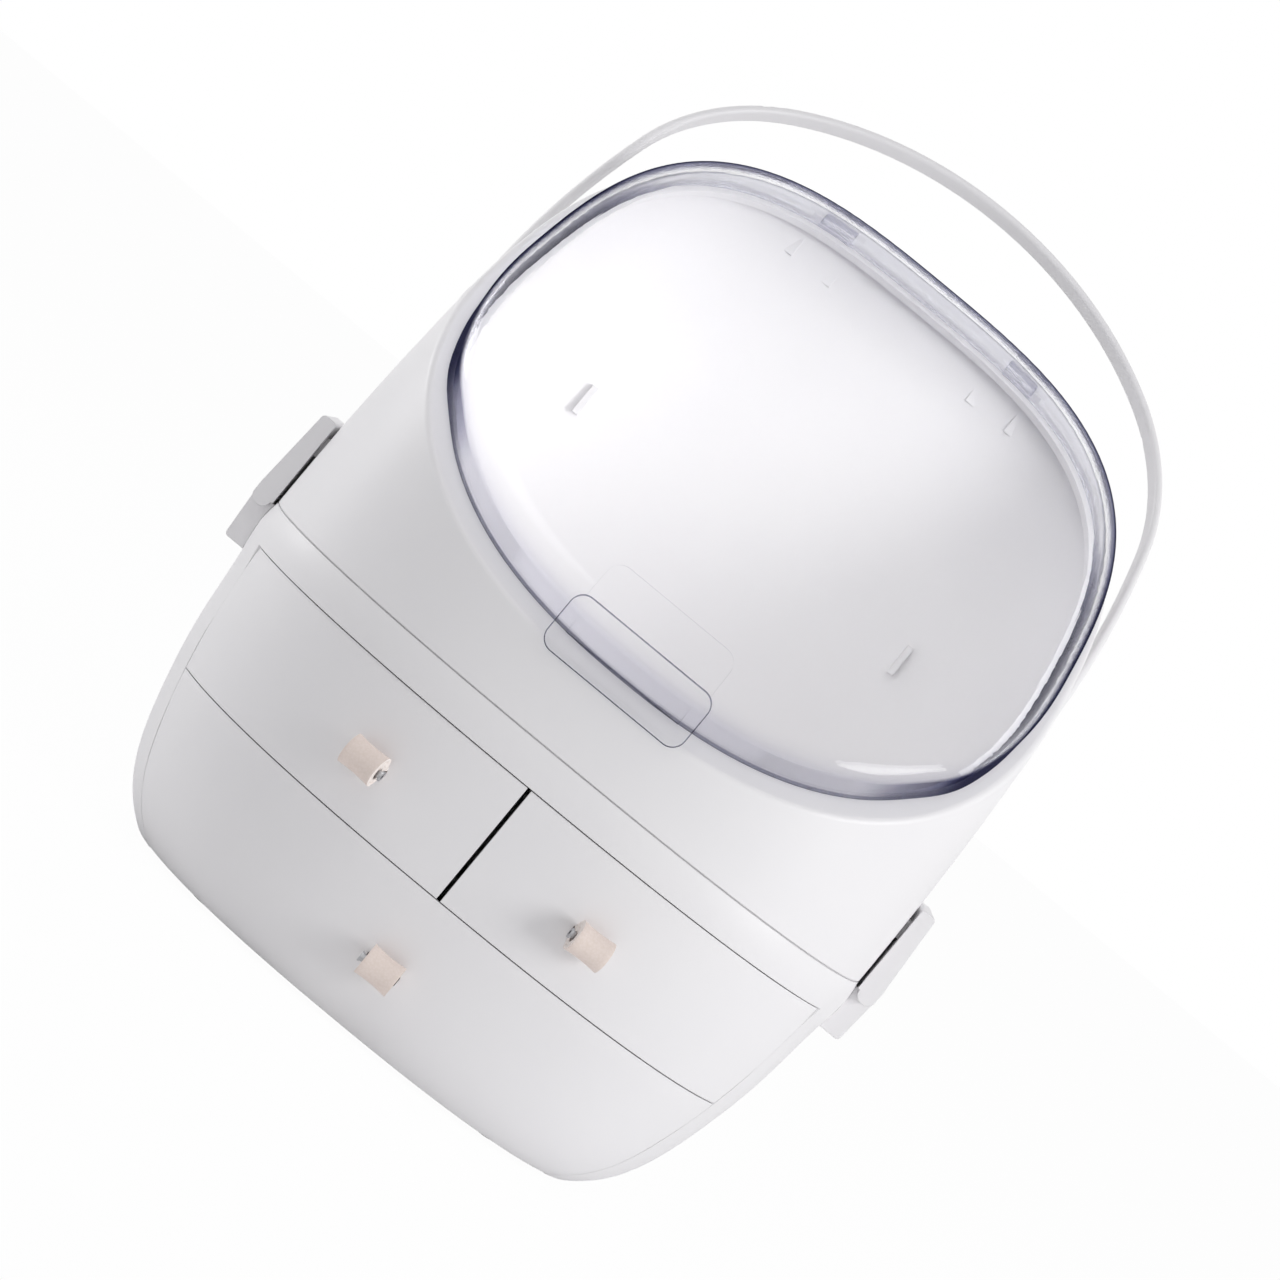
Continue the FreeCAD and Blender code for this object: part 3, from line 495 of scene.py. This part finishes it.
def draw_in_waist(mesh, sizes):
    """Draws the roll in a little at its middle."""
    centre = sizes.strap_roll - sizes.strap_reach
    half = sizes.strap_width / 2
    for vert in mesh.verts:
        if vert.co.y < centre + sizes.strap_roll:
            drawn = sizes.strap_waist / sizes.strap_roll * (1 - (vert.co.x / half) ** 2)
            vert.co.y = centre + (vert.co.y - centre) * (1 - drawn)
            vert.co.z *= 1 - drawn


def rolled_pull(sizes):
    """Rolled strap with its two tails, made round its own origin on the drawer front."""
    mesh = bmesh.new()
    rows = 8
    sweep_strip(mesh, roll_path(sizes), sizes, rows)
    sweep_strip(mesh, lining_path(sizes), sizes, rows)
    bmesh.ops.solidify(mesh, geom=mesh.faces[:], thickness=sizes.strap_thick)
    bmesh.ops.recalc_face_normals(mesh, faces=mesh.faces[:])
    draw_in_waist(mesh, sizes)
    sharp_angle = math.radians(60)
    sharp = [e for e in mesh.edges if len(e.link_faces) == 2 and e.calc_face_angle() > sharp_angle]
    bmesh.ops.bevel(mesh, geom=sharp, offset=sizes.strap_cut_round, offset_type="OFFSET", affect="EDGES",
                    segments=2, profile=0.5, clamp_overlap=True, material=-1)
    sideways = 0.6
    for face in mesh.faces:
        face.material_index = 1 if abs(face.normal.x) > sideways else 0
    return mesh


class MAKEUPBOX_OT_pull_straps(bpy.types.Operator):
    """Rolled leatherette straps that pull the drawers"""
    bl_idname = "makeupbox.pull_straps"
    bl_label = "Pull straps"

    def execute(self, context):
        colours = context.scene.makeupbox_colours
        sizes = context.scene.makeupbox_sizes
        skin = leatherette("PU_leatherette_nude", colours.strap, colours.strap_shade)
        cut = leatherette("PU_leatherette_cut_edge", colours.strap_edge, colours.strap)
        middle = Vector((0, (sizes.strap_tab_place + sizes.strap_layer - sizes.strap_reach) / 2, 0))
        for side, turn in zip(DRAWERS, (-sizes.strap_turn, sizes.strap_turn, 0)):
            low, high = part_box(side + "_pull_strap")
            turned = Matrix.Rotation(turn, 4, "Z")
            place = (Vector(low) + Vector(high)) / 2 - turned @ middle
            mesh = rolled_pull(sizes)
            bmesh.ops.transform(mesh, matrix=Matrix.Translation(place) @ turned, verts=mesh.verts)
            finished_piece(side + "_rolled_pull", mesh, (skin, cut), side + "_drawer", "nude_leatherette",
                           side + "_pull_strap")
        return {"FINISHED"}


class MAKEUPBOX_OT_stage(bpy.types.Operator):
    """Floor, soft light and the photograph's camera"""
    bl_idname = "makeupbox.stage"
    bl_label = "Stage"

    def execute(self, context):
        scene = context.scene
        self.add_floor()
        self.add_world(scene)
        for name, (place, size, power) in LAMPS.items():
            self.add_lamp(name, place, size, power)
        self.add_camera(scene, scene.makeupbox_sizes)
        scene.view_settings.view_transform = "Standard"
        return {"FINISHED"}

    def add_floor(self):
        mesh = bmesh.new()
        bmesh.ops.create_grid(mesh, x_segments=1, y_segments=1, size=FLOOR_HALF)
        data = bpy.data.meshes.new("floor")
        mesh.to_mesh(data)
        mesh.free()
        floor = bpy.data.objects.new("floor", data)
        bpy.context.scene.collection.objects.link(floor)
        data.materials.append(self.white_paper())

    def white_paper(self):
        """White paper that glows to the camera, so that it fades into the white background."""
        material, tree, shader = new_material("floor_white_paper")
        shader.inputs["Base Color"].default_value = PAPER
        shader.inputs["Roughness"].default_value = 0.9
        glow = add_node(tree, "ShaderNodeEmission", Color=WHITE, Strength=1.0)
        rays = add_node(tree, "ShaderNodeLightPath").outputs
        seen = add_node(tree, "ShaderNodeMath", rays["Is Camera Ray"], rays["Is Transmission Ray"],
                        operation="ADD", use_clamp=True)
        share = add_node(tree, "ShaderNodeMath", seen, PAPER_GLOW, operation="MULTIPLY")
        give_surface(tree, add_node(tree, "ShaderNodeMixShader", share, shader, glow))
        return material

    def add_world(self, scene):
        world = bpy.data.worlds.new("white_studio")
        world.use_nodes = True
        tree = world.node_tree
        tree.nodes.clear()
        rays = add_node(tree, "ShaderNodeLightPath").outputs
        mirrored = add_node(tree, "ShaderNodeMath", rays["Is Camera Ray"], rays["Is Glossy Ray"],
                            operation="ADD")
        seen = add_node(tree, "ShaderNodeMath", mirrored, rays["Is Transmission Ray"], operation="ADD",
                        use_clamp=True)
        soft = add_node(tree, "ShaderNodeBackground", Color=STUDIO_TINT, Strength=STUDIO_STRENGTH)
        white = add_node(tree, "ShaderNodeBackground", Color=WHITE, Strength=1.0)
        both = add_node(tree, "ShaderNodeMixShader", seen, soft, white)
        add_node(tree, "ShaderNodeOutputWorld", Surface=both)
        scene.world = world

    def add_lamp(self, name, place, size, power):
        data = bpy.data.lights.new(name, "AREA")
        data.shape = "DISK"
        data.size = size
        data.energy = power
        lamp = bpy.data.objects.new(name, data)
        lamp.location = place
        lamp.rotation_euler = (LAMP_AIM - Vector(place)).to_track_quat("-Z", "Y").to_euler()
        bpy.context.scene.collection.objects.link(lamp)

    def add_camera(self, scene, sizes):
        data = bpy.data.cameras.new("photo_camera")
        data.sensor_width = 36
        data.lens = sizes.camera_lens
        data.clip_end = 50
        camera = bpy.data.objects.new("photo_camera", data)
        look = Matrix.Rotation(math.pi / 2 - sizes.camera_pitch, 4, "X")
        roll = Matrix.Rotation(sizes.camera_roll, 4, "Z")
        place = Matrix.Translation((-sizes.camera_side, -sizes.camera_distance, sizes.camera_height))
        camera.matrix_world = place @ look @ roll
        scene.collection.objects.link(camera)
        scene.camera = camera


class MAKEUPBOX_PT_panel(bpy.types.Panel):
    """Pieces of the makeup storage box"""
    bl_idname = "MAKEUPBOX_PT_panel"
    bl_label = "Makeup storage box"
    bl_space_type = "VIEW_3D"
    bl_region_type = "UI"
    bl_category = "Makeup box"

    def draw(self, context):
        for operator in OPERATORS:
            self.layout.operator(operator.bl_idname)


OPERATORS = (MAKEUPBOX_OT_white_mouldings, MAKEUPBOX_OT_clear_lid, MAKEUPBOX_OT_hardware,
             MAKEUPBOX_OT_pull_straps, MAKEUPBOX_OT_stage)
CLASSES = (MakeupBoxColours, MakeupBoxSizes) + OPERATORS + (MAKEUPBOX_PT_panel,)


def register():
    for entry in CLASSES:
        bpy.utils.register_class(entry)
    bpy.types.Scene.makeupbox_colours = PointerProperty(type=MakeupBoxColours)
    bpy.types.Scene.makeupbox_sizes = PointerProperty(type=MakeupBoxSizes)


def unregister():
    del bpy.types.Scene.makeupbox_sizes
    del bpy.types.Scene.makeupbox_colours
    for entry in reversed(CLASSES):
        bpy.utils.unregister_class(entry)


def main():
    register()
    bpy.ops.makeupbox.white_mouldings()
    bpy.ops.makeupbox.clear_lid()
    bpy.ops.makeupbox.hardware()
    bpy.ops.makeupbox.pull_straps()
    bpy.ops.makeupbox.stage()


if __name__ == "__main__":
    main()
